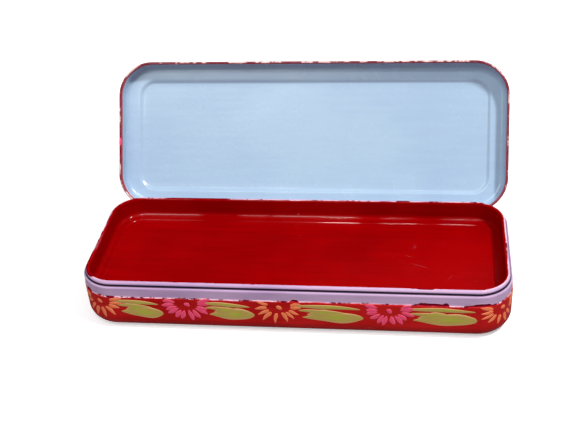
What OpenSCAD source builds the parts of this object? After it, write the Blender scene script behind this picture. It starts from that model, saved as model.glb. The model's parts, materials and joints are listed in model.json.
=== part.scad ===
// A hinged tin pencil case: a deep-drawn base with a lift-out tray and a rolled-hem lid on two pin hinges.
// Origin: centre of the underside of the base. +X runs along the case, +Y towards the hinges, +Z up.
// Everything is drawn at rest, with the lid open against its stop.

/* [Case] */
// Length of the base over its walls
case_l = 200; // [150:1:280]
// Width of the base over its walls
case_w = 74; // [55:1:120]
// Radius of the upright corners of the base
corner_r = 16.5; // [14:0.5:22]
// Thickness of the tinplate
sheet_t = 0.4; // [0.3:0.05:0.6]
// Gap between the tray or the base and what slides past them
gap = 0.3; // [0.25:0.05:0.5]

/* [Base] */
// Height of the base up to its turned-in edge
base_h = 24.6; // [20:0.2:40]
// Radius round the bottom edge of the base
base_bottom_r = 7; // [4:0.5:9]
// Height of the band at the top of the base that the closed lid covers
band_h = 5.2; // [4:0.2:7]
// How far the band is set in from the wall below it
band_inset = 0.4; // [0.3:0.05:0.6]
// Radius over the top edge of the base
edge_r = 1; // [0.8:0.1:1.5]

/* [Tray] */
// Depth of the tray from the top of its curled rim to its floor
tray_depth = 10.5; // [7:0.5:14]
// Outer radius of the tray's curled rim
curl_r = 1; // [0.8:0.1:1.3]
// How far the top of the base's band reaches out past the middle of the curl
curl_inset = 2.1; // [1.8:0.1:3]
// Radius inside the tray between its wall and its floor
tray_fillet_r = 2.2; // [1.5:0.1:4]
// How far the middle of the tray's floor is pressed down
tray_floor_step = 0.5; // [0.2:0.1:1]

/* [Lid] */
// Depth inside the lid from its free edge to the flat border of its top
lid_depth = 8.8; // [8:0.1:14]
// Radius inside the lid between its skirt and its top
lid_corner_r = 2.4; // [1:0.1:4]
// Width of the flat border round the lid's panel, from the skirt to the pressed step
lid_border_w = 7.2; // [5:0.2:9]
// Width of the pressed step
lid_step_w = 2.2; // [1.4:0.1:3]
// Height of the pressed step
lid_step_h = 1; // [0.5:0.1:2]
// Outer radius of the rolled hem at the lid's free edge
hem_r = 0.65; // [0.6:0.05:0.9]
// Angle between the closed lid and the open lid
open_angle = 122; // [100:1:130]

/* [Hinges] */
// Height of the closed lid's free edge above the hinge pins
hinge_drop = 2.5; // [1.5:0.1:3]
// Distance from each end of the base to the middle of the hinge near it
hinge_inset = 44; // [36:1:50]
// Width of each hinge
hinge_w = 15; // [12:0.5:20]
// Radius of the hinge pin
pin_r = 0.6; // [0.5:0.05:0.8]
// Running clearance round the pin in the lid's knuckle
pin_fit = 0.05; // [0.02:0.01:0.1]
// Thickness of the hinge leaves
leaf_t = 0.45; // [0.4:0.05:0.6]
// How far the edge of each leaf stays from the rounded edge of the pan that it is welded to
leaf_margin = 0.6; // [0.4:0.1:1.5]
// Sideways gap between the knuckles
knuckle_gap = 0.3; // [0.2:0.05:0.5]

/* [Hidden] */

// Longer than anything here, for cuts that run right through.
far = 100;
$fn = 72;

// Heights of the base's wall, from the underside up.
band_top = base_h;
band_bottom = base_h - band_h;
joggle_h = band_inset;
edge_gap = 0.1;
free_edge_z = band_bottom + edge_gap;

// The base's turned-in edge, which the tray's curl rests on.
edge_seat_w = 0.35;
edge_in = band_inset + curl_inset + edge_seat_w;
seat_gap = 0.05;

// The tray, measured from the outline of the base's wall.
curl_mid_in = band_inset + curl_inset;
curl_mid_z = base_h + seat_gap + curl_r;
tray_wall_in = curl_mid_in + curl_r;
tray_floor_z = curl_mid_z + curl_r - tray_depth;
tray_step_w = 0.8;
tray_flat_w = 1.5;
tray_panel_in = tray_wall_in + tray_fillet_r + tray_flat_w + tray_step_w;
curl_slit_w = 0.3;

// The lid, measured from the outline of the base's wall, with + outwards.
skirt_in = gap - band_inset;
skirt_out = skirt_in + sheet_t;
hem_mid_out = skirt_in + hem_r;
lid_border_z = free_edge_z + lid_depth;
lid_panel_in = lid_border_w - skirt_in + lid_step_w;

// The hinges. The tang on the lid's knuckle meets the back of the base stop_drop below the pin.
knuckle_r = pin_r + pin_fit + leaf_t;
hinge_x = case_l / 2 - hinge_inset;
hinge_y = case_w / 2 + skirt_out + gap + knuckle_r;
hinge_z = free_edge_z - hinge_drop;
knuckle_w = (hinge_w - 2 * knuckle_gap) / 3;
base_pin_fit = 0.02;
leaf_bend_h = 2;
knuckle_neck_w = leaf_t + 0.2;
head_r = pin_r + 0.3;
head_t = 0.3;
stop_gap = 0.1;
stop_drop = 1.1;
stop_reach = hinge_y - case_w / 2 - stop_gap;
stop_r = sqrt(stop_reach * stop_reach + stop_drop * stop_drop);

// Draws a wall profile all round a rounded rectangle. The profile's x is the distance outwards from the outline.
module around(l = case_l, w = case_w, r = corner_r) {
  for (side = [0:3]) {
    out = (side % 2 == 0 ? l : w) / 2 - r;
    run = (side % 2 == 0 ? w : l) / 2 - r;
    rotate([0, 0, 90 * side]) translate([out, run, 0]) {
      rotate([90, 0, 0]) linear_extrude(2 * run) translate([r, 0]) children();
      rotate_extrude(angle = 90) translate([r, 0]) children();
    }
  }
}

// A flat sheet whose edge lies in_by inside the outline of the base's wall.
module plate(in_by, z) {
  r = corner_r - in_by;
  l = case_l - 2 * in_by;
  w = case_w - 2 * in_by;
  translate([0, 0, z]) linear_extrude(sheet_t) union() {
    square([l - 2 * r, w], center = true);
    square([l, w - 2 * r], center = true);
    for (sx = [-1, 1], sy = [-1, 1]) translate([sx * (l / 2 - r), sy * (w / 2 - r)]) circle(r);
  }
}

// A quarter bend of sheet, of outer radius r round [x, z], in the quarter that sx and sz point to.
module bend(x, z, r, sx, sz) {
  translate([x, z]) intersection() {
    difference() {
      circle(r);
      circle(r - sheet_t);
    }
    translate([sx > 0 ? 0 : -far, sz > 0 ? 0 : -far]) square(far);
  }
}

// A straight run of sheet between two points on its outer side. The sheet lies inwards or down by [dx, dz].
module run_of_sheet(a, b, d) {
  polygon([a, b, b + d, a + d]);
}

// A rolled edge of outer radius r round [x, z], open by a slit next to the wall on its inner side.
module rolled_edge(x, z, r, up) {
  difference() {
    translate([x, z]) circle(r);
    translate([x, z]) circle(r - sheet_t);
    translate([x - r + sheet_t, up > 0 ? z + 0.1 : z - 0.1 - r]) square([curl_slit_w, r]);
  }
}

module base_profile() {
  joggle_z = band_bottom - joggle_h;
  wall_in = [-sheet_t, 0];
  bend(-base_bottom_r, base_bottom_r, base_bottom_r, 1, -1);
  run_of_sheet([0, base_bottom_r], [0, joggle_z - joggle_h / 2], wall_in);
  run_of_sheet([0, joggle_z - joggle_h / 2], [-band_inset, joggle_z + joggle_h / 2], wall_in);
  run_of_sheet([-band_inset, joggle_z + joggle_h / 2], [-band_inset, band_top - edge_r], wall_in);
  bend(-band_inset - edge_r, band_top - edge_r, edge_r, 1, 1);
  translate([-edge_in, band_top - sheet_t]) square([edge_in - band_inset - edge_r, sheet_t]);
}

module base_pan() {
  color("firebrick") union() {
    around() base_profile();
    plate(base_bottom_r, 0);
  }
}

module tray_profile() {
  fillet_x = -tray_wall_in - tray_fillet_r;
  ledge_z = tray_floor_z + tray_floor_step;
  down = [0, -sheet_t];
  rolled_edge(-curl_mid_in, curl_mid_z, curl_r, -1);
  translate([-tray_wall_in, ledge_z + tray_fillet_r])
    square([sheet_t, curl_mid_z - ledge_z - tray_fillet_r]);
  bend(fillet_x, ledge_z + tray_fillet_r, tray_fillet_r + sheet_t, 1, -1);
  translate([fillet_x - tray_flat_w, ledge_z - sheet_t]) square([tray_flat_w, sheet_t]);
  run_of_sheet([-tray_panel_in, tray_floor_z], [fillet_x - tray_flat_w, ledge_z], down);
}

module inner_tray() {
  color("red") union() {
    around() tray_profile();
    plate(tray_panel_in, tray_floor_z - sheet_t);
  }
}

module lid_profile() {
  bend_x = skirt_in - lid_corner_r;
  bend_z = lid_border_z - lid_corner_r;
  step_x = skirt_in - lid_border_w;
  rolled_edge(hem_mid_out, free_edge_z + hem_r, hem_r, 1);
  translate([skirt_in, free_edge_z + hem_r]) square([sheet_t, bend_z - free_edge_z - hem_r]);
  bend(bend_x, bend_z, lid_corner_r + sheet_t, 1, 1);
  translate([step_x, lid_border_z]) square([bend_x - step_x, sheet_t]);
  run_of_sheet([-lid_panel_in, lid_border_z + lid_step_h], [step_x, lid_border_z], [0, sheet_t]);
}

// Turns a lid piece from its closed place to its open one.
module opened() {
  translate([0, hinge_y, hinge_z]) rotate([-open_angle, 0, 0]) translate([0, -hinge_y, -hinge_z]) children();
}

module lid_pan() {
  notch_w = hinge_w + 2 * gap + 2 * head_t;
  color("lightsteelblue") opened() difference() {
    union() {
      around() lid_profile();
      plate(lid_panel_in, lid_border_z + lid_step_h);
    }
    for (side = [-1, 1])
      translate([side * hinge_x - notch_w / 2, case_w / 2 + skirt_out, free_edge_z - far / 2])
        cube([notch_w, far, far]);
  }
}

// A length of knuckle along X, centred at x from the middle of the hinge.
module knuckle(x, r) {
  translate([x - knuckle_w / 2, hinge_y, hinge_z]) rotate([0, 90, 0]) cylinder(r = r, h = knuckle_w);
}

module knuckle_bore(x, r) {
  translate([x - knuckle_w, hinge_y, hinge_z]) rotate([0, 90, 0]) cylinder(r = r, h = 2 * knuckle_w);
}

// Extrudes a [y, z] outline along X by w, centred at x.
module across(x, w) {
  translate([x - w / 2, 0, 0]) rotate([90, 0, 90]) linear_extrude(w) children();
}

// The sheet between a leaf, whose face lies at y and whose edge is at leaf_z, and the knuckle it is rolled into.
module knuckle_neck(x, y, leaf_z, knuckle_z) {
  across(x, knuckle_w) polygon([
    [y, leaf_z], [y + leaf_t, leaf_z],
    [hinge_y, knuckle_z], [hinge_y - knuckle_neck_w, knuckle_z]
  ]);
}

module hinge_base_leaf(side) {
  wall_y = case_w / 2;
  knuckle_z = hinge_z - knuckle_r / 2;
  leaf_top = knuckle_z - leaf_bend_h;
  leaf_bottom = base_bottom_r + leaf_margin;
  ear_x = knuckle_w + knuckle_gap;
  color("silver") translate([side * hinge_x, 0, 0]) difference() {
    union() {
      across(0, hinge_w) translate([wall_y, leaf_bottom]) square([leaf_t, leaf_top - leaf_bottom]);
      for (x = [-ear_x, ear_x]) {
        knuckle_neck(x, wall_y, leaf_top, knuckle_z);
        knuckle(x, knuckle_r);
      }
    }
    for (x = [-ear_x, ear_x]) knuckle_bore(x, pin_r + base_pin_fit);
  }
}

module hinge_lid_leaf(side) {
  skirt_y = case_w / 2 + skirt_out;
  leaf_bottom = hinge_z + knuckle_r + gap + edge_gap;
  leaf_top = lid_border_z - lid_corner_r - leaf_margin;
  color("silver") opened() translate([side * hinge_x, 0, 0]) difference() {
    union() {
      across(0, hinge_w) translate([skirt_y, leaf_bottom]) square([leaf_t, leaf_top - leaf_bottom]);
      knuckle_neck(0, skirt_y, leaf_bottom, hinge_z + knuckle_r / 2);
      knuckle(0, knuckle_r);
      stop_tang();
    }
    knuckle_bore(0, pin_r + pin_fit);
  }
}

// The tang on the lid's knuckle that meets the back of the base when the lid is open.
module stop_tang() {
  contact_angle = atan2(stop_drop, stop_reach);
  translate([0, hinge_y, hinge_z]) rotate([180 + contact_angle + open_angle, 0, 0])
    translate([-knuckle_w / 2, pin_r + pin_fit, 0]) cube([knuckle_w, stop_r - pin_r - pin_fit, leaf_t]);
}

module hinge_pin(side) {
  color("gainsboro") translate([side * hinge_x - hinge_w / 2 - head_t, hinge_y, hinge_z]) rotate([0, 90, 0]) {
    cylinder(r = pin_r, h = hinge_w + 2 * head_t);
    cylinder(r = head_r, h = head_t);
    translate([0, 0, hinge_w + head_t]) cylinder(r = head_r, h = head_t);
  }
}

base_pan();
inner_tray();
lid_pan();
hinge_base_leaf(-1);  // left_hinge_base_leaf
hinge_lid_leaf(-1);  // left_hinge_lid_leaf
hinge_pin(-1);  // left_hinge_pin
hinge_base_leaf(1);  // right_hinge_base_leaf
hinge_lid_leaf(1);  // right_hinge_lid_leaf
hinge_pin(1);  // right_hinge_pin
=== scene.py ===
# %% [markdown]
# # A hand-painted tin pencil case
# The case is three pressed pans of tinplate: a base, a shallow tray that hangs in it by its curled rim,
# and a lid on two pin hinges. All three are enamelled, and flowers and leaves are brushed on the outside.
# The design file holds the true sizes, so the script loads it first and takes its sizes from there.

# %% Load the frame
import json
import math

import bmesh
import bpy
import numpy as np
from mathutils import Matrix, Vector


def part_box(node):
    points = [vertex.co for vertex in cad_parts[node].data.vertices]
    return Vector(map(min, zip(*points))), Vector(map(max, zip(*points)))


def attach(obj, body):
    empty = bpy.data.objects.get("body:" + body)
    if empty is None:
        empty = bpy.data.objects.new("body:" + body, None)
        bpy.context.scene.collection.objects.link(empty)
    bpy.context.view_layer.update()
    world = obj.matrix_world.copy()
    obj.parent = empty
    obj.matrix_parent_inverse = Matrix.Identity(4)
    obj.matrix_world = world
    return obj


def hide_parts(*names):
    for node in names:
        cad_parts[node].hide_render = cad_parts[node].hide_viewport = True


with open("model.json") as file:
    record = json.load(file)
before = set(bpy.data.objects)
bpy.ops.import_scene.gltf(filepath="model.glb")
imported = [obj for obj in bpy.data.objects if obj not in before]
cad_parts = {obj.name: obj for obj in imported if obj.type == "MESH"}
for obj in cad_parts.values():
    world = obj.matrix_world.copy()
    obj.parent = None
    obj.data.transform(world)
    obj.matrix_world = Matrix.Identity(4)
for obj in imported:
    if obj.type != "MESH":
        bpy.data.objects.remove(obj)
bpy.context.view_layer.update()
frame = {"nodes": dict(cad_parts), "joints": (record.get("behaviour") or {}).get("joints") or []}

joints = {joint["name"]: joint for joint in frame["joints"]}
print("pieces in the frame:", ", ".join(sorted(frame["nodes"])))

# %% [markdown]
# ## The camera
# The camera looks down into the open case from the front, a little to the right of its middle.
# It could be aimed with a constraint, but a place and three angles say the same thing plainly.

# %% Camera
camera_place = (0.0614, -0.3739, 0.3033)
camera_turn = math.radians(-9.86)    # yaw, from +Y towards +X
camera_dip = math.radians(34.71)     # pitch, below the horizon
camera_roll = math.radians(-4.72)    # the horizon's slope in the frame
camera_lens = 61.4

ahead = np.array([math.sin(camera_turn) * math.cos(camera_dip),
                  math.cos(camera_turn) * math.cos(camera_dip),
                  -math.sin(camera_dip)])
level = np.array([math.cos(camera_turn), -math.sin(camera_turn), 0.0])
upright = np.cross(level, ahead)
right = math.cos(camera_roll) * level + math.sin(camera_roll) * upright
up = math.cos(camera_roll) * upright - math.sin(camera_roll) * level

camera = bpy.data.objects.new("camera", bpy.data.cameras.new("camera"))
pose = np.eye(4)
pose[:3, 0], pose[:3, 1], pose[:3, 2], pose[:3, 3] = right, up, -ahead, camera_place
camera.matrix_world = Matrix(pose.tolist())
camera.data.lens = camera_lens
camera.data.sensor_width = 36.0
bpy.context.scene.collection.objects.link(camera)
bpy.context.scene.camera = camera
print("camera looks down by", round(math.degrees(camera_dip), 1), "degrees")

# %% [markdown]
# ## Sizes in millimetres
# Thin sheet is easiest to think about in millimetres. Overall sizes come from the frame's boxes, and the
# radii repeat the design's values. Distances across the wall are counted outwards from the base's outline.

# %% Sizes
MM = 0.001
base_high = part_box("base_pan")[1]
tray_low, tray_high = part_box("inner_tray")
leaf_low, leaf_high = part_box("right_hinge_lid_leaf")
half_l, half_w, base_h = base_high.x / MM, base_high.y / MM, base_high.z / MM

corner_r = 16.5          # upright corners of the base
sheet_t = 0.4            # tinplate
base_bottom_r = 7.0      # rounded edge under the base
band_h, band_inset = 5.2, 0.4
edge_r = 1.0             # over the base's top edge
flange_in = 2.85         # how far in the base's edge is turned
curl_r = 1.0             # the tray's curled rim
curl_mid_in = 2.5
tray_fillet_r = 2.2
tray_flat_w, tray_step_w, tray_step_h = 1.5, 0.8, 0.5
gap = 0.3                # between the lid's skirt and the band
edge_gap = 0.1
lid_depth = 8.8
lid_corner_r = 2.4
lid_border_w, lid_step_w, lid_step_h = 7.2, 2.2, 1.0
hem_r = 0.65

band_z = base_h - band_h
free_edge_z = band_z + edge_gap
curl_mid_z = tray_high.z / MM - curl_r
tray_floor_z = tray_low.z / MM + sheet_t
skirt_in = gap - band_inset
hinge_x = (leaf_low.x + leaf_high.x) / 2 / MM
notch_half = (leaf_high.x - leaf_low.x) / 2 / MM + 0.6
lid_hinge = joints["lid_hinge"]
open_angle = math.radians(lid_hinge["range_deg"][1])
print("base", [round(size, 1) for size in (2 * half_l, 2 * half_w, base_h)], "mm")

# %% [markdown]
# ## Pressed pans
# A pressed pan is one wall section carried round a rounded rectangle. It could be cut from a block with
# booleans, but carrying the section keeps every radius smooth and lets the paint know where it lies.
# `ring` gives the rounded rectangle at any distance from the base's wall. Past the corner's radius the
# outline shrinks towards a line in the middle, which closes the floor of the pan.


# %% The outline that every pan follows
def stations(half, extra=()):
    """Places along a straight side from -half to +half: even steps of about 4 mm, and the extra ones."""
    even = np.linspace(-half, half, max(2, int(round(half / 2))) + 1)
    return np.unique(np.concatenate([even, np.array(extra, float)]))


def ring(corner_steps=18):
    """The outline as core points and outward directions: four sides, then the arcs between them.

    A point at distance d from the outline is its core point plus (corner_r + d) times its direction."""
    core_l, core_w = half_l - corner_r, half_w - corner_r
    notch_edges = [s * hinge_x + e for s in (-1, 1) for e in
                   (-notch_half - 0.5, -notch_half, notch_half, notch_half + 0.5)]
    long_side, short_side = stations(core_l, notch_edges), stations(core_w)
    cores, turns = [], []
    sides = [(long_side, -90.0, (1, 0), (0, -1)), (short_side, 0.0, (0, 1), (1, 0)),
             (long_side, 90.0, (-1, 0), (0, 1)), (short_side, 180.0, (0, -1), (-1, 0))]
    for places, angle, along, out in sides:
        centre = np.array([out[0] * core_l, out[1] * core_w])
        cores.append(centre + places[:, None] * np.array(along))
        turns.append(np.full(len(places), angle))
        bend = np.linspace(angle, angle + 90.0, corner_steps + 1)[1:-1]
        cores.append(np.repeat(cores[-1][-1:], len(bend), axis=0))
        turns.append(bend)
    turn = np.radians(np.concatenate(turns))
    return np.vstack(cores), np.stack([np.cos(turn), np.sin(turn)], axis=1)


ring_core, ring_out = ring()
print("points round the outline:", len(ring_core))


def carried(section):
    """Carries a section of (distance, height) pairs round the outline, as a grid of points in millimetres.

    Beyond the corner's radius the radius is zero and the core shrinks, so the last ring is a line."""
    distance, height = section[:, 0], section[:, 1]
    radius = np.maximum(corner_r + distance, 0.0)
    shrink = np.maximum(-(corner_r + distance), 0.0)
    limit = np.stack([half_l - corner_r - shrink, half_w - corner_r - shrink], axis=1)
    core = np.clip(ring_core[:, None, :], -limit, limit)
    flat = core + radius[None, :, None] * ring_out[:, None, :]
    return np.concatenate([flat, np.broadcast_to(height[None, :, None], flat.shape[:2] + (1,))], axis=2)


# %% Wall sections
def arc(x, z, r, start, stop, steps):
    """Points on a circle of radius r round (x, z), from one angle to another in degrees."""
    t = np.radians(np.linspace(start, stop, steps))
    return np.stack([x + r * np.cos(t), z + r * np.sin(t)], axis=1)


def straight(a, b, steps):
    """Points from a to b in equal steps."""
    return np.linspace(a, b, steps)


def s_bend(a, b, steps, along_x=True):
    """Points from a to b that leave and arrive level: one coordinate is even, the other eases in and out."""
    t = np.linspace(0.0, 1.0, steps)
    ease = t * t * (3 - 2 * t)
    x, z = (t, ease) if along_x else (ease, t)
    return np.stack([a[0] + (b[0] - a[0]) * x, a[1] + (b[1] - a[1]) * z], axis=1)


def joined(*parts):
    """The parts one after another, without the points that they share."""
    path = np.vstack(parts)
    keep = np.concatenate([[True], np.linalg.norm(np.diff(path, axis=0), axis=1) > 1e-6])
    return path[keep]


def other_face(path, thickness):
    """The far face of the sheet: each point moved to the left of the path by the thickness."""
    slope = np.gradient(path, axis=0)
    slope /= np.linalg.norm(slope, axis=1, keepdims=True)
    return path + thickness * np.stack([-slope[:, 1], slope[:, 0]], axis=1)


def length_along(path):
    """Distance along a path from its first point."""
    return np.concatenate([[0.0], np.cumsum(np.linalg.norm(np.diff(path, axis=0), axis=1))])


# %% [markdown]
# ## From a section to a mesh
# Each pan stores numbers at every point. `paint_line` is the distance, in millimetres, from the line
# where one coat of enamel meets the next, and it is `first_coat` where no second coat lies. `rim` is 1 on
# the edges that knocks reach first. `painted_gap_shade` is 1 in the narrow gaps where two pans meet, where a
# dark colour is painted in for the shade that falls there. `bend` is 1 where enamel pooled in a bend and
# shines. The materials read them, so paint and wear follow the metal. Floors
# get a slight unevenness, because pressed sheet is never quite flat and a gloss coat shows it.


# %% Mesh maker
first_coat = -9.0


def unevenness(x, y, size=0.05):
    """Slow waves over the floor: three sines of different directions, in millimetres."""
    return size * (np.sin(x / 17.0 + 0.6) * np.cos(y / 13.0) + 0.6 * np.sin(x / 31.0 - y / 23.0)
                   + 0.35 * np.cos(x / 9.0 + y / 11.0))


def opened(points):
    """Turns points of the closed lid about the hinge to where the lid stands open."""
    y = points[..., 1] - lid_hinge["pos_m"][1] / MM
    z = points[..., 2] - lid_hinge["pos_m"][2] / MM
    c, s = math.cos(open_angle), math.sin(open_angle)
    turned = np.stack([points[..., 0], y * c + z * s, z * c - y * s], axis=-1)
    return turned + np.array([0.0, lid_hinge["pos_m"][1] / MM, lid_hinge["pos_m"][2] / MM])


def grid_faces(rows, columns):
    """Four-cornered faces of a grid whose rows wrap round, as an array of point numbers."""
    i, j = np.arange(rows)[:, None], np.arange(columns - 1)[None, :]
    here, after = i * columns + j, (i + 1) % rows * columns + j
    corners = [here, after, after + 1, here + 1]
    return np.stack(np.broadcast_arrays(*corners), axis=-1).reshape(-1, 4)


def make_mesh(name, points, faces, values=None, uv=None, sharp=50.0):
    """A mesh object from arrays in millimetres, with its doubles merged and smooth shading."""
    mesh = bpy.data.meshes.new(name)
    mesh.from_pydata((points.reshape(-1, 3) * MM).tolist(), [], faces.tolist())
    for key, value in (values or {}).items():
        spread = np.broadcast_to(value, points.shape[:2]).astype(np.float32)
        mesh.attributes.new(key, "FLOAT", "POINT").data.foreach_set("value", spread.ravel())
    if uv is not None:
        corner_points = np.zeros(len(mesh.loops), np.int32)
        mesh.loops.foreach_get("vertex_index", corner_points)
        layer = mesh.uv_layers.new(name="brush")
        layer.data.foreach_set("uv", uv.reshape(-1, 2)[corner_points].astype(np.float32).ravel())
    work = bmesh.new()
    work.from_mesh(mesh)
    bmesh.ops.remove_doubles(work, verts=work.verts, dist=1e-7)
    bmesh.ops.dissolve_degenerate(work, edges=work.edges, dist=1e-8)
    work.to_mesh(mesh)
    work.free()
    mesh.shade_smooth()
    mesh.set_sharp_from_angle(angle=math.radians(sharp))
    piece = bpy.data.objects.new(name, mesh)
    bpy.context.scene.collection.objects.link(piece)
    print(name, "has", len(mesh.vertices), "points and", len(mesh.polygons), "faces")
    return piece


# %% [markdown]
# ## The base
# The base was drawn in one stroke of a press: a flat bottom, a generous radius, a straight wall, a small
# inward step where the lid stops, and a lip turned in to carry the tray. Its section is drawn from the
# middle of the underside outwards, and the inner face is the same path moved in by the sheet's thickness.

# %% Base pan
middle = -half_w
base_outer = joined(
    straight((middle, 0.0), (-base_bottom_r - 1.0, 0.0), 9),
    straight((-base_bottom_r - 1.0, 0.0), (-base_bottom_r, 0.0), 3),
    arc(-base_bottom_r, base_bottom_r, base_bottom_r, -90, 0, 22),
    straight((0.0, base_bottom_r), (0.0, band_z - 0.6), 10),
    s_bend((0.0, band_z - 0.6), (-band_inset, band_z), 7, along_x=False),
    straight((-band_inset, band_z), (-band_inset, base_h - edge_r), 6),
    arc(-band_inset - edge_r, base_h - edge_r, edge_r, 0, 90, 12),
    straight((-band_inset - edge_r, base_h), (-flange_in, base_h), 3))
base_inner = other_face(base_outer, sheet_t)
base_section = np.vstack([base_outer, base_inner[::-1]])
lilac_below_step = 0.15
base_line = np.concatenate([base_outer[:, 1] - band_z + lilac_below_step,
                            np.full(len(base_inner), first_coat)])
base_edge = np.concatenate([np.exp(-((base_outer[:, 1] - band_z) / 0.9) ** 2)
                            + np.exp(-((base_outer[:, 1] - base_h + 0.4) / 0.5) ** 2),
                            np.zeros(len(base_inner))])
# Painted shade: the base's turned-in top and the inside just below it lie in the gap under the tray's curl.
# They are marked to be painted dark for the shade there.
base_gap_shade = np.concatenate([np.clip((-base_outer[:, 0] - 0.85) / 0.35, 0, 1) * (base_outer[:, 1] > band_z),
                            np.clip((base_inner[:, 1] - base_h + 2.2) / 1.2, 0, 1)])
base_points = carried(base_section)
base_shell = make_mesh("base_shell", base_points, grid_faces(len(ring_core), len(base_section)),
                       {"paint_line": base_line, "rim": base_edge, "painted_gap_shade": base_gap_shade, "bend": 0.0})
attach(base_shell, "base")
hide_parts("base_pan")

# %% [markdown]
# ## The tray
# The tray's edge is curled outwards over a wire and hides its raw edge. The section starts in the middle of
# the floor, runs up the wall and round the curl, and the underside is the same path moved by the sheet.

# %% Inner tray
curl_steps = 40
tray_wall_in = curl_mid_in + curl_r
fillet_x = -tray_wall_in - tray_fillet_r
ledge_z = tray_floor_z + tray_step_h
tray_top = joined(
    straight((middle, tray_floor_z), (fillet_x - tray_flat_w - tray_step_w, tray_floor_z), 10),
    s_bend((fillet_x - tray_flat_w - tray_step_w, tray_floor_z), (fillet_x - tray_flat_w, ledge_z), 8),
    straight((fillet_x - tray_flat_w, ledge_z), (fillet_x, ledge_z), 4),
    arc(fillet_x, ledge_z + tray_fillet_r, tray_fillet_r, -90, 0, 16),
    straight((-tray_wall_in, ledge_z + tray_fillet_r), (-tray_wall_in, curl_mid_z), 8),
    arc(-curl_mid_in, curl_mid_z, curl_r, 180, -118, curl_steps))
tray_under = other_face(tray_top, -sheet_t)
tray_section = np.vstack([tray_under, tray_top[::-1]])
run = length_along(tray_top)
rim_start = run[np.argmax(tray_top[:, 1])] - 0.75
top_rim = np.exp(-((run - rim_start - 0.4) / 0.7) ** 2)
tray_rim = np.concatenate([np.zeros(len(tray_under)), top_rim[::-1]])
# Painted shade: the lower outside of the curl, the underside of the sheet there and the tray's outer wall
# just under it lie in the gap above the base. They are marked to be painted dark for the shade there.
curl_turn = np.degrees(np.arctan2(tray_top[:, 1] - curl_mid_z, tray_top[:, 0] + curl_mid_in))
top_gap_shade = np.where(curl_turn > -125, np.clip((-curl_turn - 6.0) / 18.0, 0.0, 1.0), 0.0)
top_gap_shade[: -curl_steps] = 0.0
under_gap_shade = np.clip((tray_under[:, 1] - curl_mid_z + curl_r + 1.4) / 1.2, 0.0, 1.0)
tray_gap_shade = np.concatenate([under_gap_shade, top_gap_shade[::-1]])
tray_bend = np.exp(-((tray_section[:, 0] - fillet_x - 1.0) / 1.3) ** 2)
tray_bend += 0.45 * np.exp(-((tray_section[:, 0] - fillet_x + tray_flat_w + tray_step_w / 2) / 0.6) ** 2)
tray_bend = tray_bend[None, :] * np.clip(ring_out[:, 1:], 0.0, 1.0)
tray_points = carried(tray_section)
red_over_back = 0.45
red_over = np.abs(ring_out[:, 0]) + red_over_back * np.clip(ring_out[:, 1], 0, 1)
top_line = (run - rim_start)[::-1] - red_over[:, None]
tray_line = np.hstack([np.full((len(red_over), len(tray_under)), first_coat), top_line])
on_floor = np.clip((-tray_section[:, 0] - 9.0) / 6.0, 0.0, 1.0)
tray_points[..., 2] += on_floor * unevenness(tray_points[..., 0], tray_points[..., 1])
tray_shell = make_mesh("tray_shell", tray_points, grid_faces(len(ring_core), len(tray_section)),
                       {"paint_line": tray_line, "rim": tray_rim, "painted_gap_shade": tray_gap_shade, "bend": tray_bend})
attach(tray_shell, "tray")
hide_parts("inner_tray")

# %% [markdown]
# ## The lid
# The lid is a mirror of the base: a raised panel, a pressed step, a flat border, a rounded shoulder, a skirt
# and a rolled hem. It is drawn closed and then turned about the hinge, so that it lies where the joint
# expects it. The hem is pressed flat where the hinge leaves cross it.

# %% Lid pan
hem_steps = 34
blue_short_of_hem = 1.9
border_z = free_edge_z + lid_depth
panel_z = border_z + lid_step_h
step_x = skirt_in - lid_border_w
hem_x, hem_z = skirt_in + hem_r, free_edge_z + hem_r
lid_inside = joined(
    straight((middle, panel_z), (step_x - lid_step_w, panel_z), 10),
    s_bend((step_x - lid_step_w, panel_z), (step_x, border_z), 14),
    straight((step_x, border_z), (skirt_in - lid_corner_r, border_z), 6),
    arc(skirt_in - lid_corner_r, border_z - lid_corner_r, lid_corner_r, 90, 0, 16),
    straight((skirt_in, border_z - lid_corner_r), (skirt_in, hem_z), 8),
    arc(hem_x, hem_z, hem_r, 180, 468, hem_steps))
lid_outside = other_face(lid_inside, sheet_t)
lid_section = np.vstack([lid_inside, lid_outside[::-1]])
run = length_along(lid_inside)
hem_start = run[-hem_steps]
lid_line = np.concatenate([hem_start - blue_short_of_hem - run, np.full(len(lid_outside), first_coat)])
lid_rim = np.concatenate([np.exp(-((run - hem_start - 1.2) / 1.0) ** 2), np.zeros(len(lid_outside))])
lid_bend = 0.8 * np.exp(-((lid_section[:, 0] - step_x + lid_step_w / 2) / 1.5) ** 2)
lid_bend += 0.8 * np.exp(-((lid_section[:, 0] - skirt_in + lid_corner_r / 2) / 1.3) ** 2)
lid_points = carried(lid_section)
skirt_out = half_w + skirt_in + sheet_t
near_hinge = np.abs(np.abs(lid_points[..., 0]) - hinge_x) <= notch_half + 0.01
past_skirt = lid_points[..., 1] - skirt_out
flattened = 0.04
lid_points[..., 1] -= np.where(near_hinge & (past_skirt > 0), (1 - flattened) * past_skirt, 0.0)
on_panel = np.clip((-lid_section[:, 0] - 10.5) / 6.0, 0.0, 1.0)
lid_points[..., 2] += on_panel * unevenness(lid_points[..., 0], lid_points[..., 1])
lid_shell = make_mesh("lid_shell", opened(lid_points), grid_faces(len(ring_core), len(lid_section)),
                      {"paint_line": lid_line, "rim": lid_rim, "painted_gap_shade": 0.0, "bend": lid_bend})
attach(lid_shell, "lid")
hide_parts("lid_pan")

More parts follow.
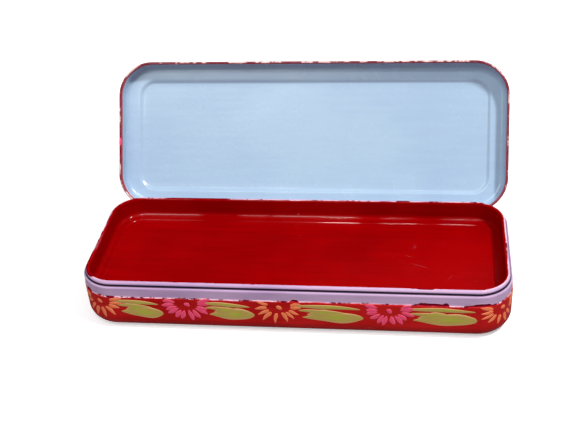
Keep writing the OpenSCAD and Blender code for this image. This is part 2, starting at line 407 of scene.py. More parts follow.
# %% [markdown]
# ## Brush dabs
# Every petal and leaf is one press of a loaded round brush: a blob of thick paint that swells and then runs
# out to a tip. Each is a thin closed lens. Its width follows a power of a sine along the stroke, its
# back bulges a tenth of a millimetre out of the metal, and its belly is sunk in the sheet. All dabs
# of one colour are worked out together as arrays, and a mapping function lays them on the wall or the lid.


# %% Dabs as arrays
dab_along, dab_round = 15, 18
paint_proud, paint_sunk = 0.13, 0.12


def dab_grid(dabs, rng):
    """Local points of many dabs: (x, y) in the plane of the wall and the height above it.

    Each dab is (x, y, heading in degrees, length, width, fullness, bend). The half-width at s is
    width / 2 times sin(pi s^fullness)^0.7, and the middle line bows sideways by bend times 4 s (1 - s)."""
    x, y, heading, length, width, fullness, bend = np.array(dabs, float).T[:, :, None, None]
    s = np.linspace(0.0, 1.0, dab_along)[None, :, None]
    turn = np.linspace(0.0, 2 * math.pi, dab_round, endpoint=False)[None, None, :]
    ripple = 1 + 0.09 * np.sin(s * 9 + rng.uniform(0, 6, x.shape)) * np.sign(np.cos(turn))
    half = width / 2 * np.abs(np.sin(math.pi * s ** fullness)) ** 0.7 * ripple
    across = half * np.cos(turn) + bend * 4 * s * (1 - s)
    lift = np.abs(np.sin(math.pi * s)) ** 0.5
    swell = np.abs(np.sin(turn))
    bulge = np.where(turn < math.pi, paint_proud * swell ** 0.6, -paint_sunk * swell)
    height = bulge * lift - 0.02 * (1 - lift)
    c, d = np.cos(np.radians(heading)), np.sin(np.radians(heading))
    px = x + c * s * length - d * across
    py = y + d * s * length + c * across
    uv = np.stack(np.broadcast_arrays(s, 0.5 + 0.5 * np.cos(turn)), axis=-1)
    offset = np.stack([np.arange(len(dabs)), rng.integers(0, 40, len(dabs))], axis=1)[:, None, None, :]
    return px, py, np.broadcast_to(height, px.shape), np.broadcast_to(uv, px.shape + (2,)) + 2 * offset


def dab_piece(name, dabs, place, body, seed):
    """One object for all the dabs of a colour, laid on the metal by place(x, y, height)."""
    px, py, height, uv = dab_grid(dabs, np.random.default_rng(seed))
    points = place(px, py, height)
    count = points.shape[0]
    one = grid_faces(dab_round, dab_along).reshape(-1, 4)
    turned = points.transpose(0, 2, 1, 3)
    faces = (one[None] + (np.arange(count) * dab_along * dab_round)[:, None, None]).reshape(-1, 4)
    piece = make_mesh(name, turned, faces, uv=uv.transpose(0, 2, 1, 3), sharp=80.0)
    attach(piece, body)
    return piece


# %% Where the dabs lie
def round_wall(offset):
    """The outline at an offset, for dabs: a function from a length along it to a core point and a direction.

    Lengths start at the middle of the front and run anticlockwise, seen from above."""
    core_l, core_w = half_l - corner_r, half_w - corner_r
    quarter = (corner_r + offset) * math.pi / 2
    short = 2 * core_w
    lengths = np.array([core_l, quarter, short, quarter, 2 * core_l, quarter, short, quarter, core_l])
    marks = np.concatenate([[0.0], np.cumsum(lengths)])
    starts = np.array([[0, -1], [1, -1], [1, -1], [1, 1], [1, 1], [-1, 1], [-1, 1], [-1, -1], [-1, -1]])
    starts = starts * np.array([core_l, core_w])

    def find(px):
        """Which stretch px falls in, and where on it."""
        u = np.mod(px, marks[-1])
        part = np.clip(np.searchsorted(marks, u, side="right") - 1, 0, 8)
        into = u - marks[part]
        side_turn = np.radians(-90.0 + 90.0 * (part // 2))
        bent = part % 2 == 1
        angle = side_turn + np.where(bent, into / (corner_r + offset), 0.0)
        along = np.where(bent, 0.0, into)
        core = starts[part] + along[..., None] * np.stack([-np.sin(side_turn), np.cos(side_turn)], axis=-1)
        return core, np.stack([np.cos(angle), np.sin(angle)], axis=-1)

    return find, marks[-1]


def on_wall(offset, top_z, bend_r):
    """A mapping for the outside of a wall. x runs along the outline, and y is the height below the wall's
    top, as a negative number. The mapping follows the rounded edge under the wall."""
    find, around = round_wall(offset)

    def place(px, py, height):
        """Down the wall by -py, round the bend if it goes so far, and out by the height."""
        core, out_way = find(px)
        past = np.clip(-py - (top_z - bend_r), 0.0, bend_r * math.pi / 2) / bend_r
        out = corner_r + offset - bend_r + (bend_r + height) * np.cos(past)
        z = np.where(past > 0, bend_r - (bend_r + height) * np.sin(past), top_z + py)
        return np.concatenate([core + out[..., None] * out_way, z[..., None]], axis=-1)

    return place, around


def on_hem(px, py, height):
    """A mapping for the lid's rolled hem: y runs round the roll from its outermost line."""
    core, out_way = round_wall(hem_x)[0](px)
    turn = py / hem_r
    out = corner_r + hem_x + (hem_r + height) * np.cos(turn)
    z = hem_z + (hem_r + height) * np.sin(turn)
    return opened(np.concatenate([core + out[..., None] * out_way, z[..., None]], axis=-1))


def on_panel_top(px, py, height):
    """A mapping for the lid's outer panel: the closed place, turned open."""
    z = panel_z + sheet_t + unevenness(px, py) + height
    return opened(np.stack([px, py, z], axis=-1))


place_on_base, base_round = on_wall(0.0, band_z - 0.6, base_bottom_r)
place_on_skirt_closed, skirt_round = on_wall(skirt_in + sheet_t, border_z - lid_corner_r, 0.01)


def place_on_skirt(px, py, height):
    """A mapping for the lid's skirt: as on the base, turned open."""
    return opened(place_on_skirt_closed(px, py, height))


print("the base's wall is", round(base_round, 1), "mm round")

# %% [markdown]
# ## The flower border
# The painter worked round the case: a fan of petals, then a leaf with two thin strokes over it, and so on,
# with orange and pink by turns. Twelve flowers go round the base. A little chance in every dab keeps
# the border from looking printed.


# %% Flowers and leaves on the walls
def fan_flower(x, y, rng, petals, width, fullness, first=-200.0, last=20.0, inner=3.5,
               length=6.4, heart=1.0):
    """A half-open flower: petals fan out downwards from (x, y), and a small dab marks the middle."""
    dabs = []
    for heading in np.linspace(first, last, petals) + rng.uniform(-3, 3, petals):
        t = math.radians(heading)
        reach = inner * rng.uniform(0.9, 1.12)
        dabs.append((x + 1.5 * reach * math.cos(t), y + 0.95 * reach * math.sin(t) + 0.6 * heart,
                     math.degrees(math.atan2(0.8 * math.sin(t), math.cos(t))) + rng.uniform(-7, 7),
                     length * rng.uniform(0.82, 1.08), width * rng.uniform(0.85, 1.1), fullness,
                     rng.uniform(-0.4, 0.4)))
    dabs.append((x - heart, y + 1.3 * heart, -40 + rng.uniform(-12, 12), 3.2 * heart, 2.0 * heart, 0.9,
                 0.2 * heart))
    return dabs


def leaf_group(x, y, rng, reach):
    """A fat leaf with its tip at the left, a lobe that joins it to two long thin strokes above."""
    return [(x + 2.0, y - 7.6 + rng.uniform(-0.4, 0.4), rng.uniform(-2, 3), reach * 1.0,
             6.4 * rng.uniform(0.92, 1.08), 1.4, 0.2),
            (x + 4.5, y - 6.2, rng.uniform(6, 11), reach * 0.45, 3.6, 1.25, 0.3),
            (x + 0.5, y - 3.6 + rng.uniform(-0.3, 0.3), rng.uniform(-6, -2), reach * 0.82, 2.1, 0.85, 0.3),
            (x - 1.5, y - 1.3, rng.uniform(-4, -1), reach * 1.08, 2.3, 0.95, 0.4)]


front_flowers = [-90.0, -48.0, -5.0, 45.0, 96.0]
other_flowers = list(np.linspace(front_flowers[-1], front_flowers[0] + base_round, 9)[1:-1])
wall_rng = np.random.default_rng(41)
base_petals = {"orange": [], "pink": []}
flower_y = -3.4
base_leaf_dabs = []
flower_places = front_flowers + other_flowers
for count, flower_x in enumerate(flower_places):
    following = (flower_places + [flower_places[0] + base_round])[count + 1]
    if count % 2 == 0:
        base_petals["orange"] += fan_flower(flower_x, flower_y, wall_rng, 10, width=1.9, fullness=0.66)
    else:
        base_petals["pink"] += fan_flower(flower_x, flower_y, wall_rng, 12, width=2.2, fullness=1.1)
    base_leaf_dabs += leaf_group(flower_x + 8.0, -0.6, wall_rng, following - flower_x - 21.0)

base_pink = dab_piece("base_pink_petals", base_petals["pink"], place_on_base, "base", 5)
base_orange = dab_piece("base_orange_petals", base_petals["orange"], place_on_base, "base", 6)
base_leaves = dab_piece("base_leaves", base_leaf_dabs, place_on_base, "base", 7)

# %% [markdown]
# ## The lid's outside
# The top of the lid carries larger, whole flowers with leaves between them, and short strokes run round its
# skirt. These dabs use the same lens and another mapping.


# %% Flowers on the lid
def whole_flower(x, y, rng, petals=16, inner=3.8, length=9.6, width=3.1):
    """A full ring of petals, and three dabs in the middle."""
    dabs = []
    for turn in np.arange(petals) * 360.0 / petals:
        t = math.radians(turn + rng.uniform(-5, 5))
        dabs.append((x + inner * math.cos(t), y + inner * math.sin(t), math.degrees(t) + rng.uniform(-7, 7),
                     length * rng.uniform(0.88, 1.08), width * rng.uniform(0.9, 1.1), 0.8,
                     rng.uniform(-0.5, 0.5)))
    for turn in (20.0, 140.0, 260.0):
        t = math.radians(turn)
        dabs.append((x + 0.5 * math.cos(t), y + 0.5 * math.sin(t), turn, 2.2, 1.4, 0.9, 0.0))
    return dabs


def leaf_pair(x, y, heading, rng):
    """Two leaves that part from one point, with a thin stroke between them."""
    return [(x, y, heading + 30 + rng.uniform(-4, 4), 15.5, 5.6, 0.85, 1.0),
            (x, y, heading - 30 + rng.uniform(-4, 4), 15.5, 5.6, 0.85, -1.0),
            (x, y, heading + 8 + rng.uniform(-4, 4), 12.0, 1.7, 0.9, 0.4),
            (x, y, heading - 8 + rng.uniform(-4, 4), 12.0, 1.7, 0.9, -0.4)]


lid_rng = np.random.default_rng(77)
lid_petals = {"orange": [], "pink": []}
lid_leaf_dabs = []
for count, (flower_x, flower_y) in enumerate([(-66, 4), (-33, -5), (0, 5), (33, -4), (66, 5)]):
    lid_petals["pink" if count % 2 == 0 else "orange"] += whole_flower(flower_x, flower_y, lid_rng)
leaf_places = [(-50, 14, 75), (-49, -13, -95), (-17, 13, 100), (-16, -14, -80), (17, 14, 80),
               (16, -13, -100), (50, 14, 95), (49, -13, -75), (-79, -8, 215), (79, -7, -40)]
for leaf_x, leaf_y, heading in leaf_places:
    lid_leaf_dabs += leaf_pair(leaf_x, leaf_y - 4 * math.sin(math.radians(heading)), heading, lid_rng)

skirt_petals = {"orange": [], "pink": []}
skirt_leaf_dabs = []
skirt_flowers = 22
skirt_spacing = skirt_round / skirt_flowers
for count in range(skirt_flowers):
    start = skirt_spacing * count + 4.0
    colour = "pink" if count % 2 == 0 else "orange"
    skirt_petals[colour] += fan_flower(start, -1.3, lid_rng, petals=9, width=1.05, fullness=0.9, inner=1.25,
                                       length=2.6, heart=0.45)
    skirt_leaf_dabs += [(start + 5.6, -2.9, lid_rng.uniform(-6, 6), 12.0, 2.5, 1.2, 0.3),
                        (start + 5.0, -1.1, lid_rng.uniform(-8, -2), 11.0, 1.1, 0.9, 0.3)]

lid_pink = dab_piece("lid_pink_petals", lid_petals["pink"], on_panel_top, "lid", 11)
lid_orange = dab_piece("lid_orange_petals", lid_petals["orange"], on_panel_top, "lid", 12)
lid_leaves = dab_piece("lid_leaves", lid_leaf_dabs, on_panel_top, "lid", 13)
skirt_pink = dab_piece("skirt_pink_petals", skirt_petals["pink"], place_on_skirt, "lid", 14)
skirt_orange = dab_piece("skirt_orange_petals", skirt_petals["orange"], place_on_skirt, "lid",
                         15)
skirt_leaves = dab_piece("skirt_leaves", skirt_leaf_dabs, place_on_skirt, "lid", 16)
left_end = -(half_l - corner_r) - (corner_r + hem_x) * math.pi / 2
spot_dab = (left_end - 26.5, -0.8, -4.0, 4.6, 1.9, 1.0, 0.0)
hem_spot = dab_piece("hem_spot", [spot_dab], on_hem, "lid", 17)

# %% [markdown]
# ## Materials
# All the enamels share their effects, so each effect is a node group with named sockets: `enamel_coat` for
# brushed colour and orange peel, `coat_edge` for the ragged line where two coats meet and the mask of a
# painted highlight along it, `knocked_rim` for chips on exposed edges, and `fine_marks` for scratches and
# specks. The shader stays in each material.


# %% Node helpers
def wire(tree, value, socket):
    """Links a socket to an input, or sets the input's own value."""
    if isinstance(value, bpy.types.NodeSocket):
        tree.links.new(value, socket)
    elif value is not None:
        socket.default_value = value


def node(tree, kind, settings=None, **inputs):
    """Adds a node, sets its properties, and wires its inputs by name or number (as n0, n1)."""
    made = tree.nodes.new(kind)
    for key, value in (settings or {}).items():
        setattr(made, key, value)
    for key, value in inputs.items():
        by_number = key[0] == "n" and key[1:].isdigit()
        wire(tree, value, made.inputs[int(key[1:]) if by_number else key.replace("_", " ")])
    return made


def calc(tree, operation, a, b=None, c=None, clamp=False):
    """A Math node's result."""
    made = node(tree, "ShaderNodeMath", {"operation": operation, "use_clamp": clamp}, n0=a, n1=b, n2=c)
    return made.outputs[0]


def times(tree, a, b):
    """Two values multiplied."""
    return calc(tree, "MULTIPLY", a, b)


def mixed(tree, amount, a, b, blend="MIX"):
    """Two colours mixed by an amount."""
    made = node(tree, "ShaderNodeMix", {"data_type": "RGBA", "blend_type": blend})
    for value, socket in ((amount, made.inputs[0]), (a, made.inputs[6]), (b, made.inputs[7])):
        wire(tree, value, socket)
    return made.outputs[2]


def ramped(tree, value, low, high, out_low=0.0, out_high=1.0):
    """A value carried smoothly from one range to another."""
    made = node(tree, "ShaderNodeMapRange", {"interpolation_type": "SMOOTHSTEP"},
                n0=value, n1=low, n2=high, n3=out_low, n4=out_high)
    return made.outputs[0]


def noise(tree, vector, scale, detail=2.0, roughness=0.5):
    """A noise value, about 0.5 in the middle."""
    return node(tree, "ShaderNodeTexNoise", None, Vector=vector, Scale=scale, Detail=detail,
                Roughness=roughness).outputs["Fac"]


def stretched(tree, vector, scale):
    """A vector scaled along each axis."""
    return node(tree, "ShaderNodeMapping", None, Vector=vector, Scale=scale).outputs[0]


def new_group(name, inputs, outputs):
    """An empty node group with named sockets. Each input is (name, kind, default)."""
    tree = bpy.data.node_groups.new(name, "ShaderNodeTree")
    kinds = {"value": "NodeSocketFloat", "colour": "NodeSocketColor", "vector": "NodeSocketVector"}
    for label, kind, default in inputs:
        socket = tree.interface.new_socket(label, in_out="INPUT", socket_type=kinds[kind])
        if default is not None:
            socket.default_value = default
    for label, kind in outputs:
        tree.interface.new_socket(label, in_out="OUTPUT", socket_type=kinds[kind])
    return tree, tree.nodes.new("NodeGroupInput").outputs, tree.nodes.new("NodeGroupOutput").inputs


def use_group(tree, group, **inputs):
    """Places a node group in a material and wires its inputs by name."""
    made = tree.nodes.new("ShaderNodeGroup")
    made.node_tree = group
    for key, value in inputs.items():
        wire(tree, value, made.inputs[key.replace("_", " ")])
    return made.outputs


# %% Enamel coat
enamel_coat, given, gives = new_group(
    "enamel_coat",
    [("Vector", "vector", None), ("Deep colour", "colour", None), ("Light colour", "colour", None),
     ("Smooth", "value", 0.2), ("Dull", "value", 0.4), ("Peel", "value", 0.2)],
    [("Colour", "colour"), ("Roughness", "value"), ("Normal", "vector")])
tree = enamel_coat
cloud = noise(tree, given["Vector"], 22.0, 3.0)
streak = noise(tree, stretched(tree, given["Vector"], (35.0, 420.0, 420.0)), 1.0, 3.0)
shade = calc(tree, "ADD", times(tree, cloud, 0.65), times(tree, streak, 0.35))
lightness = ramped(tree, shade, 0.36, 0.64)
wire(tree, mixed(tree, lightness, given["Deep colour"], given["Light colour"]), gives["Colour"])
handling = ramped(tree, noise(tree, given["Vector"], 48.0, 4.0, 0.6), 0.35, 0.7)
span = calc(tree, "SUBTRACT", given["Dull"], given["Smooth"])
wire(tree, calc(tree, "MULTIPLY_ADD", handling, span, given["Smooth"]), gives["Roughness"])
peel = calc(tree, "ADD", noise(tree, given["Vector"], 520.0, 2.0), times(tree, streak, 0.5))
peel_bump = node(tree, "ShaderNodeBump", None, Strength=given["Peel"], Distance=0.0004, Height=peel)
wire(tree, peel_bump.outputs[0], gives["Normal"])

# %% Coat edge
coat_edge, given, gives = new_group(
    "coat_edge",
    [("Vector", "vector", None), ("Line", "value", 0.0), ("Wobble", "value", 0.5), ("Ridge", "value", 0.25),
     ("Chips", "value", 0.5)],
    [("Coat", "value"), ("Ridge", "value"), ("Chip", "value")])
tree = coat_edge
drift = calc(tree, "SUBTRACT", noise(tree, given["Vector"], 95.0, 2.0), 0.5)
rag = calc(tree, "SUBTRACT", noise(tree, given["Vector"], 420.0, 3.0, 0.65), 0.5)
sway = calc(tree, "ADD", times(tree, drift, 1.6), times(tree, rag, 0.9))
bite = ramped(tree, noise(tree, stretched(tree, given["Vector"], (1.0, 1.0, 0.2)), 44.0, 3.0),
              0.565, 0.605, 0.0, -1.8)
whole = calc(tree, "MULTIPLY_ADD", sway, given["Wobble"], given["Line"])
edge = calc(tree, "MULTIPLY_ADD", bite, given["Wobble"], whole)
wire(tree, ramped(tree, edge, -0.06, 0.06), gives["Coat"])
# The Ridge output is a mask along the line. The materials raise a small bump with it and paint a pale
# highlight on it.
nearness = calc(tree, "DIVIDE", calc(tree, "ABSOLUTE", edge), given["Ridge"])
patchy = ramped(tree, noise(tree, given["Vector"], 70.0, 2.0), 0.34, 0.54)
wire(tree, times(tree, ramped(tree, nearness, 1.0, 0.2), patchy), gives["Ridge"])
fleck = noise(tree, stretched(tree, given["Vector"], (170.0, 170.0, 420.0)), 1.0, 4.0, 0.7)
close = ramped(tree, calc(tree, "ABSOLUTE", edge), 1.6, 0.0)
fleck_level = calc(tree, "MULTIPLY_ADD", close, given["Chips"], fleck)
bitten = times(tree, ramped(tree, whole, -0.06, 0.06), ramped(tree, edge, 0.06, -0.06))
wire(tree, calc(tree, "MAXIMUM", ramped(tree, fleck_level, 0.98, 1.04), bitten), gives["Chip"])

# %% Knocked rim
knocked_rim, given, gives = new_group(
    "knocked_rim",
    [("Vector", "vector", None), ("Rim", "value", 0.0), ("Amount", "value", 0.5), ("Grain", "value", 260.0)],
    [("Chip", "value"), ("Rub", "value")])
tree = knocked_rim
coarse = noise(tree, given["Vector"], 60.0, 2.0)
fine = noise(tree, given["Vector"], given["Grain"], 3.0, 0.65)
knock = calc(tree, "MULTIPLY_ADD", coarse, 0.9, times(tree, fine, 0.6))
knock = calc(tree, "MULTIPLY_ADD", given["Rim"], given["Amount"], knock)
wire(tree, ramped(tree, knock, 1.26, 1.3), gives["Chip"])
wire(tree, ramped(tree, knock, 0.98, 1.28), gives["Rub"])

# %% Fine marks
fine_marks, given, gives = new_group(
    "fine_marks", [("Vector", "vector", None), ("Amount", "value", 0.5)],
    [("Mark", "value"), ("Speck", "value")])
tree = fine_marks
marks_mask = None
for angle, spread in ((0.4, 30.0), (-0.9, 44.0)):
    turned = node(tree, "ShaderNodeMapping", None, Vector=given["Vector"], Rotation=(0.0, 0.0, angle))
    thin = stretched(tree, turned.outputs[0], (spread, 1100.0, 500.0))
    line = ramped(tree, noise(tree, thin, 1.0, 2.0), 0.73, 0.78)
    marks_mask = line if marks_mask is None else calc(tree, "MAXIMUM", marks_mask, line)
scarce = ramped(tree, noise(tree, given["Vector"], 35.0, 2.0), 0.52, 0.62)
wire(tree, times(tree, times(tree, marks_mask, scarce), given["Amount"]), gives["Mark"])
cells = node(tree, "ShaderNodeTexVoronoi", None, Vector=given["Vector"], Scale=95.0)
tint = node(tree, "ShaderNodeSeparateColor", None, Color=cells.outputs["Color"]).outputs
dot = ramped(tree, calc(tree, "MULTIPLY_ADD", tint[1], -0.045, cells.outputs["Distance"]), 0.03, 0.012)
few = ramped(tree, tint[0], 0.72, 0.74)
wire(tree, times(tree, dot, few), gives["Speck"])
print("node groups:", ", ".join(group.name for group in bpy.data.node_groups))

# %% [markdown]
# ## Enamel on the pans
# The base is red with a lilac band where the lid covers it. The tray is deep red with a lilac curl. The lid
# is pale blue inside and red outside. One function makes all three: it lays the second coat over the first
# up to the paint line, paints a pale highlight along the ridge of paint there, and lets chips show the
# primer.
# It also paints the narrow gaps between the pans near black for the shade that falls in them.

# %% Colours and the enamel material
red_deep, red_light = (0.45, 0.005, 0.005, 1), (0.60, 0.012, 0.012, 1)
tray_deep, tray_light = (0.235, 0.0, 0.0006, 1), (0.31, 0.0, 0.0008, 1)
lilac_deep, lilac_light = (0.47, 0.30, 0.50, 1), (0.62, 0.42, 0.62, 1)
blue_deep, blue_light = (0.375, 0.515, 0.685, 1), (0.405, 0.56, 0.71, 1)
# Pale pink: the painted highlight along the ridge where two coats meet, and also the colour of scratches and
# rubbed edges.
highlight_and_scratch_pink = (0.95, 0.60, 0.72, 1)
maroon = (0.17, 0.0, 0.014, 1)
speck_pink = (0.62, 0.12, 0.10, 1)
primer_pale = (0.80, 0.55, 0.52, 1)
# Near black, painted into the narrow gaps between the pans for the shade that falls there.
# gap_shade_strength is how fully it covers them.
gap_shade_colour = (0.018, 0.006, 0.024, 1)
scratch_amount, gap_shade_strength = 0.14, 0.97


def new_material(name):
    """A material, its node tree and its shader."""
    material = bpy.data.materials.new(name)
    material.use_nodes = True
    return material, material.node_tree, material.node_tree.nodes["Principled BSDF"]


def object_vector(tree):
    """Object coordinates, which are metres in the row's frame."""
    return node(tree, "ShaderNodeTexCoord").outputs["Object"]


def attribute(tree, name):
    """A number stored on the mesh."""
    return node(tree, "ShaderNodeAttribute", {"attribute_name": name}).outputs["Fac"]


def enamel(name, under, over, chip_colour, speck_colour, wobble, chips, rim_amount,
           rim_tint, smooth, dull, gloss):
    """Two coats of enamel with a ragged line between them, a painted highlight along the line, chips near
    it, knocks on the rim and painted shade in the gaps between pans.
    """
    material, tree, shader = new_material(name)
    where = object_vector(tree)
    first = use_group(tree, enamel_coat, Vector=where, Deep_colour=under[0], Light_colour=under[1],
                      Smooth=smooth, Dull=dull, Peel=0.10)
    second = use_group(tree, enamel_coat, Vector=where, Deep_colour=over[0], Light_colour=over[1],
                       Smooth=smooth + 0.08, Dull=dull + 0.08, Peel=0.14)
    line = use_group(tree, coat_edge, Vector=where, Line=attribute(tree, "paint_line"), Wobble=wobble,
                     Ridge=0.34, Chips=chips)
    rim = use_group(tree, knocked_rim, Vector=where, Rim=attribute(tree, "rim"), Amount=rim_amount,
                    Grain=300.0)
    marks = use_group(tree, fine_marks, Vector=where, Amount=scratch_amount)
    colour = mixed(tree, line["Coat"], first["Colour"], second["Colour"])
    # Painted highlight: the ridge mask lays pale pink along the line where two coats meet, standing for
    # light catching the ridge of paint.
    colour = mixed(tree, times(tree, line["Ridge"], 0.95), colour, highlight_and_scratch_pink)
    colour = mixed(tree, marks["Mark"], colour, highlight_and_scratch_pink)
    colour = mixed(tree, times(tree, marks["Speck"], 0.8), colour, speck_colour)
    colour = mixed(tree, times(tree, attribute(tree, "rim"), rim_tint), colour, maroon)
    colour = mixed(tree, times(tree, rim["Rub"], 0.08), colour, highlight_and_scratch_pink)
    chip = calc(tree, "MAXIMUM", line["Chip"], rim["Chip"])
    colour = mixed(tree, chip, colour, chip_colour)
    # Painted shade: where the gap attribute is set, the colour goes near black for the shade in the narrow
    # gaps between the pans.
    gap_shade = times(tree, attribute(tree, "painted_gap_shade"), gap_shade_strength)
    colour = mixed(tree, gap_shade, colour, gap_shade_colour)
    wire(tree, colour, shader.inputs["Base Color"])
    rough = mixed(tree, line["Coat"], first["Roughness"], second["Roughness"])
    wire(tree, calc(tree, "MULTIPLY_ADD", chip, 0.3, rough), shader.inputs["Roughness"])
    height = calc(tree, "SUBTRACT", times(tree, line["Ridge"], 0.6), chip)
    bump = node(tree, "ShaderNodeBump", None, Strength=0.5, Distance=0.0002, Height=height,
                Normal=first["Normal"])
    wire(tree, bump.outputs[0], shader.inputs["Normal"])
    pooled = ramped(tree, noise(tree, stretched(tree, where, (45.0, 45.0, 45.0)), 1.0, 3.0, 0.6), 0.38, 0.62)
    pooled = calc(tree, "MULTIPLY", attribute(tree, "bend"), pooled, clamp=True)
    wire(tree, pooled, shader.inputs["Coat Weight"])
    shader.inputs["Coat Roughness"].default_value = 0.08
    shader.inputs["Specular IOR Level"].default_value = gloss
    return material


base_enamel = enamel("base_enamel", (red_deep, red_light), (lilac_deep, lilac_light), maroon, maroon,
                     wobble=0.7, chips=0.48, rim_amount=0.19, rim_tint=0.0,
                     smooth=0.25, dull=0.42, gloss=0.07)
tray_enamel = enamel("tray_enamel", (tray_deep, tray_light), (lilac_deep, lilac_light), maroon, speck_pink,
                     wobble=0.5, chips=0.45, rim_amount=0.24, rim_tint=0.0,
                     smooth=0.14, dull=0.28, gloss=0.004)
lid_enamel = enamel("lid_enamel", (red_deep, red_light), (blue_deep, blue_light), primer_pale, primer_pale,
                    wobble=0.25, chips=0.2, rim_amount=0.5, rim_tint=1.0, smooth=0.14, dull=0.24, gloss=0.4)
for piece, material in ((base_shell, base_enamel), (tray_shell, tray_enamel), (lid_shell, lid_enamel)):
    piece.data.materials.append(material)

# %% [markdown]
# ## Brushed paint
# A dab is darker and denser where the brush landed and thinner towards its tip, and bristles leave fine
# lines along it. The dab's own map runs along the stroke, so the lines follow each petal. Leaves were
# painted wet on wet: yellow at the edges, olive inside and fresh green in the heart.

# %% Brush streak group
brush_streak, given, gives = new_group(
    "brush_streak",
    [("Heart", "colour", None), ("Body", "colour", None), ("Border", "colour", None),
     ("Heart size", "value", 0.3)],
    [("Colour", "colour"), ("Height", "value"), ("Roughness", "value")])
tree = brush_streak
stroke = node(tree, "ShaderNodeUVMap", {"uv_map": "brush"}).outputs[0]
parts = node(tree, "ShaderNodeSeparateXYZ", None, Vector=stroke).outputs
along = calc(tree, "FRACT", times(tree, parts[0], 0.5))
sideways = calc(tree, "FRACT", times(tree, parts[1], 0.5))
along = times(tree, along, 2.0)
sideways = times(tree, sideways, 2.0)
bristle = noise(tree, stretched(tree, stroke, (2.5, 34.0, 1.0)), 1.0, 2.0)
wet = noise(tree, stretched(tree, stroke, (3.0, 3.0, 1.0)), 1.0, 2.0)
off_side = calc(tree, "ABSOLUTE", calc(tree, "SUBTRACT", sideways, 0.5))
off_mid = calc(tree, "ABSOLUTE", calc(tree, "SUBTRACT", along, 0.58))
to_heart = calc(tree, "ADD", times(tree, off_side, 0.9), off_mid)
to_heart = calc(tree, "MULTIPLY_ADD", wet, 0.35, to_heart)
heart = ramped(tree, calc(tree, "SUBTRACT", to_heart, given["Heart size"]), 0.32, 0.12)
rimmed = ramped(tree, calc(tree, "MULTIPLY_ADD", bristle, 0.16, off_side), 0.38, 0.54)
tone = mixed(tree, heart, given["Body"], given["Heart"])
tone = mixed(tree, rimmed, tone, given["Border"])
tone = mixed(tree, ramped(tree, bristle, 0.35, 0.7, 0.0, 0.5), tone, given["Border"])
wire(tree, tone, gives["Colour"])
wire(tree, calc(tree, "ADD", bristle, times(tree, wet, 0.6)), gives["Height"])
wire(tree, ramped(tree, wet, 0.3, 0.7, 0.32, 0.5), gives["Roughness"])


# %% Dab materials
def brushed_paint(name, heart, body, border, heart_size):
    """Thick hand paint: colour from the stroke, bristle lines in the bump."""
    material, tree, shader = new_material(name)
    made = use_group(tree, brush_streak, Heart=heart, Body=body, Border=border, Heart_size=heart_size)
    wire(tree, made["Colour"], shader.inputs["Base Color"])
    wire(tree, made["Roughness"], shader.inputs["Roughness"])
    bump = node(tree, "ShaderNodeBump", None, Strength=0.35, Distance=0.0001, Height=made["Height"])
    wire(tree, bump.outputs[0], shader.inputs["Normal"])
    shader.inputs["Specular IOR Level"].default_value = 0.35
    return material


pink_paint = brushed_paint("pink_paint", (1.0, 0.05, 0.16, 1), (1.0, 0.045, 0.15, 1),
                           (1.0, 0.14, 0.25, 1), 0.2)
orange_paint = brushed_paint("orange_paint", (1.0, 0.21, 0.07, 1), (1.0, 0.18, 0.05, 1),
                             (0.98, 0.32, 0.14, 1), 0.2)
leaf_paint = brushed_paint("leaf_paint", (0.40, 0.46, 0.02, 1), (0.47, 0.36, 0.06, 1),
                           (0.80, 0.47, 0.18, 1), 0.17)
for piece in (base_pink, lid_pink, skirt_pink, hem_spot):
    piece.data.materials.append(pink_paint)
for piece in (base_orange, lid_orange, skirt_orange):
    piece.data.materials.append(orange_paint)
for piece in (base_leaves, lid_leaves, skirt_leaves):
    piece.data.materials.append(leaf_paint)

# %% [markdown]
# ## Hinges
# The hinge leaves and pins keep their shape from the design and need only a finish. Stamped tinplate is
# dulled by handling, and the pins are drawn wire, brighter along their length.


# %% Steel
def steel(name, dark, light, along, smooth):
    """Worn steel: fine lines in one direction, with darker tarnish in patches."""
    material, tree, shader = new_material(name)
    where = object_vector(tree)
    lines = noise(tree, stretched(tree, where, along), 1.0, 3.0)
    tarnish = ramped(tree, noise(tree, where, 240.0, 4.0, 0.6), 0.35, 0.7)
    marks = use_group(tree, fine_marks, Vector=where, Amount=0.6)
    tone = mixed(tree, calc(tree, "MULTIPLY_ADD", tarnish, 0.7, times(tree, lines, 0.3)), light, dark)
    wire(tree, mixed(tree, marks["Mark"], tone, light), shader.inputs["Base Color"])
    wire(tree, calc(tree, "MULTIPLY_ADD", tarnish, 0.25, smooth), shader.inputs["Roughness"])
    bump = node(tree, "ShaderNodeBump", None, Strength=0.25, Distance=0.0001, Height=lines)
    wire(tree, bump.outputs[0], shader.inputs["Normal"])
    shader.inputs["Metallic"].default_value = 1.0
    return material


leaf_steel = steel("leaf_steel", (0.20, 0.18, 0.16, 1), (0.62, 0.61, 0.59, 1), (3000.0, 300.0, 300.0), 0.28)
pin_steel = steel("pin_steel", (0.30, 0.28, 0.26, 1), (0.75, 0.74, 0.72, 1), (200.0, 3000.0, 3000.0), 0.2)
for name, part in frame["nodes"].items():
    if "hinge" in name:
        part.data.materials.clear()
        part.data.materials.append(pin_steel if "pin" in name else leaf_steel)

# %% [markdown]
# ## Floor and light
# The case stands on white paper in soft light from all round. A lamp above it, a little to the right, lays
# the shadow of the lid's skirt on its border. The paper throws back less light than it shows, as under a
# raised subject, so undersides stay dark. A small bright strip above the camera draws the thin lines of
# light along the tray's rounded edges.

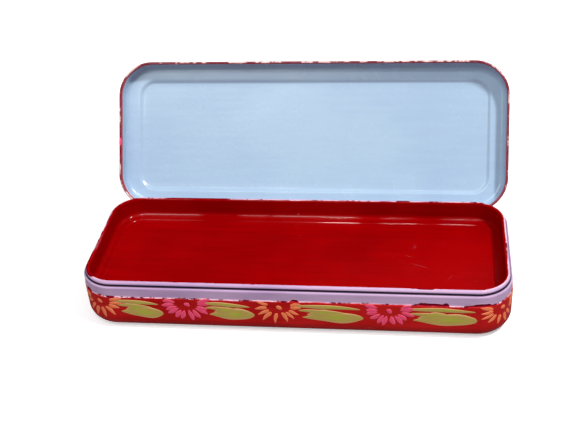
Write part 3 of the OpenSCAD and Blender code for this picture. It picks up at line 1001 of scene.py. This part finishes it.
# %% Floor
floor_mesh = bpy.data.meshes.new("floor")
reach = 3.0
floor_mesh.from_pydata([(-reach, -reach, -0.0001), (reach, -reach, -0.0001), (reach, reach, -0.0001),
                        (-reach, reach, -0.0001)], [], [(0, 1, 2, 3)])
floor = bpy.data.objects.new("floor", floor_mesh)
bpy.context.scene.collection.objects.link(floor)
floor_paper, tree, paper_shader = new_material("floor_paper")
seen = node(tree, "ShaderNodeLightPath").outputs["Is Camera Ray"]
fibre = noise(tree, object_vector(tree), 900.0, 2.0)
white = mixed(tree, fibre, (0.96, 0.96, 0.965, 1), (1.0, 1.0, 1.0, 1))
wire(tree, mixed(tree, seen, (0.22, 0.22, 0.23, 1), white), paper_shader.inputs["Base Color"])
wire(tree, mixed(tree, seen, (0, 0, 0, 1), white), paper_shader.inputs["Emission Color"])
paper_shader.inputs["Emission Strength"].default_value = 0.42
paper_shader.inputs["Roughness"].default_value = 0.9
paper_shader.inputs["Specular IOR Level"].default_value = 0.0
floor_mesh.materials.append(floor_paper)


# %% Lights
def softbox(name, place, target, size, power, colour=(1, 1, 1)):
    """A rectangular area light that looks at a target."""
    lamp = bpy.data.lights.new(name, "AREA")
    lamp.shape = "RECTANGLE"
    lamp.size, lamp.size_y = size
    lamp.energy = power
    lamp.color = colour
    holder = bpy.data.objects.new(name, lamp)
    away = np.array(place, float) - np.array(target, float)
    away /= np.linalg.norm(away)
    side = np.cross((0.0, 0.0, 1.0), away)
    side /= np.linalg.norm(side)
    turn = np.eye(4)
    turn[:3, 0], turn[:3, 1], turn[:3, 2], turn[:3, 3] = side, np.cross(away, side), away, place
    holder.matrix_world = Matrix(turn.tolist())
    bpy.context.scene.collection.objects.link(holder)
    return holder


softbox("lamp", (0.60, -0.22, 1.20), (0.0, 0.03, 0.04), (0.14, 0.14), 14.0)
softbox("window", (-0.45, -0.95, 1.15), (0.0, 0.0, 0.02), (0.8, 0.6), 6.4)
softbox("rear", (0.35, 1.3, 0.75), (0.0, 0.0, 0.04), (1.0, 0.8), 7.0)
softbox("strip", (0.012, -0.46, 0.90), (0.03, 0.03, 0.02), (0.21, 0.02), 1.4)

world = bpy.data.worlds.new("studio")
bpy.context.scene.world = world
world.use_nodes = True
world.node_tree.nodes["Background"].inputs["Color"].default_value = (0.95, 0.97, 1.0, 1)
world.node_tree.nodes["Background"].inputs["Strength"].default_value = 0.31
bpy.context.scene.view_settings.view_transform = "Standard"
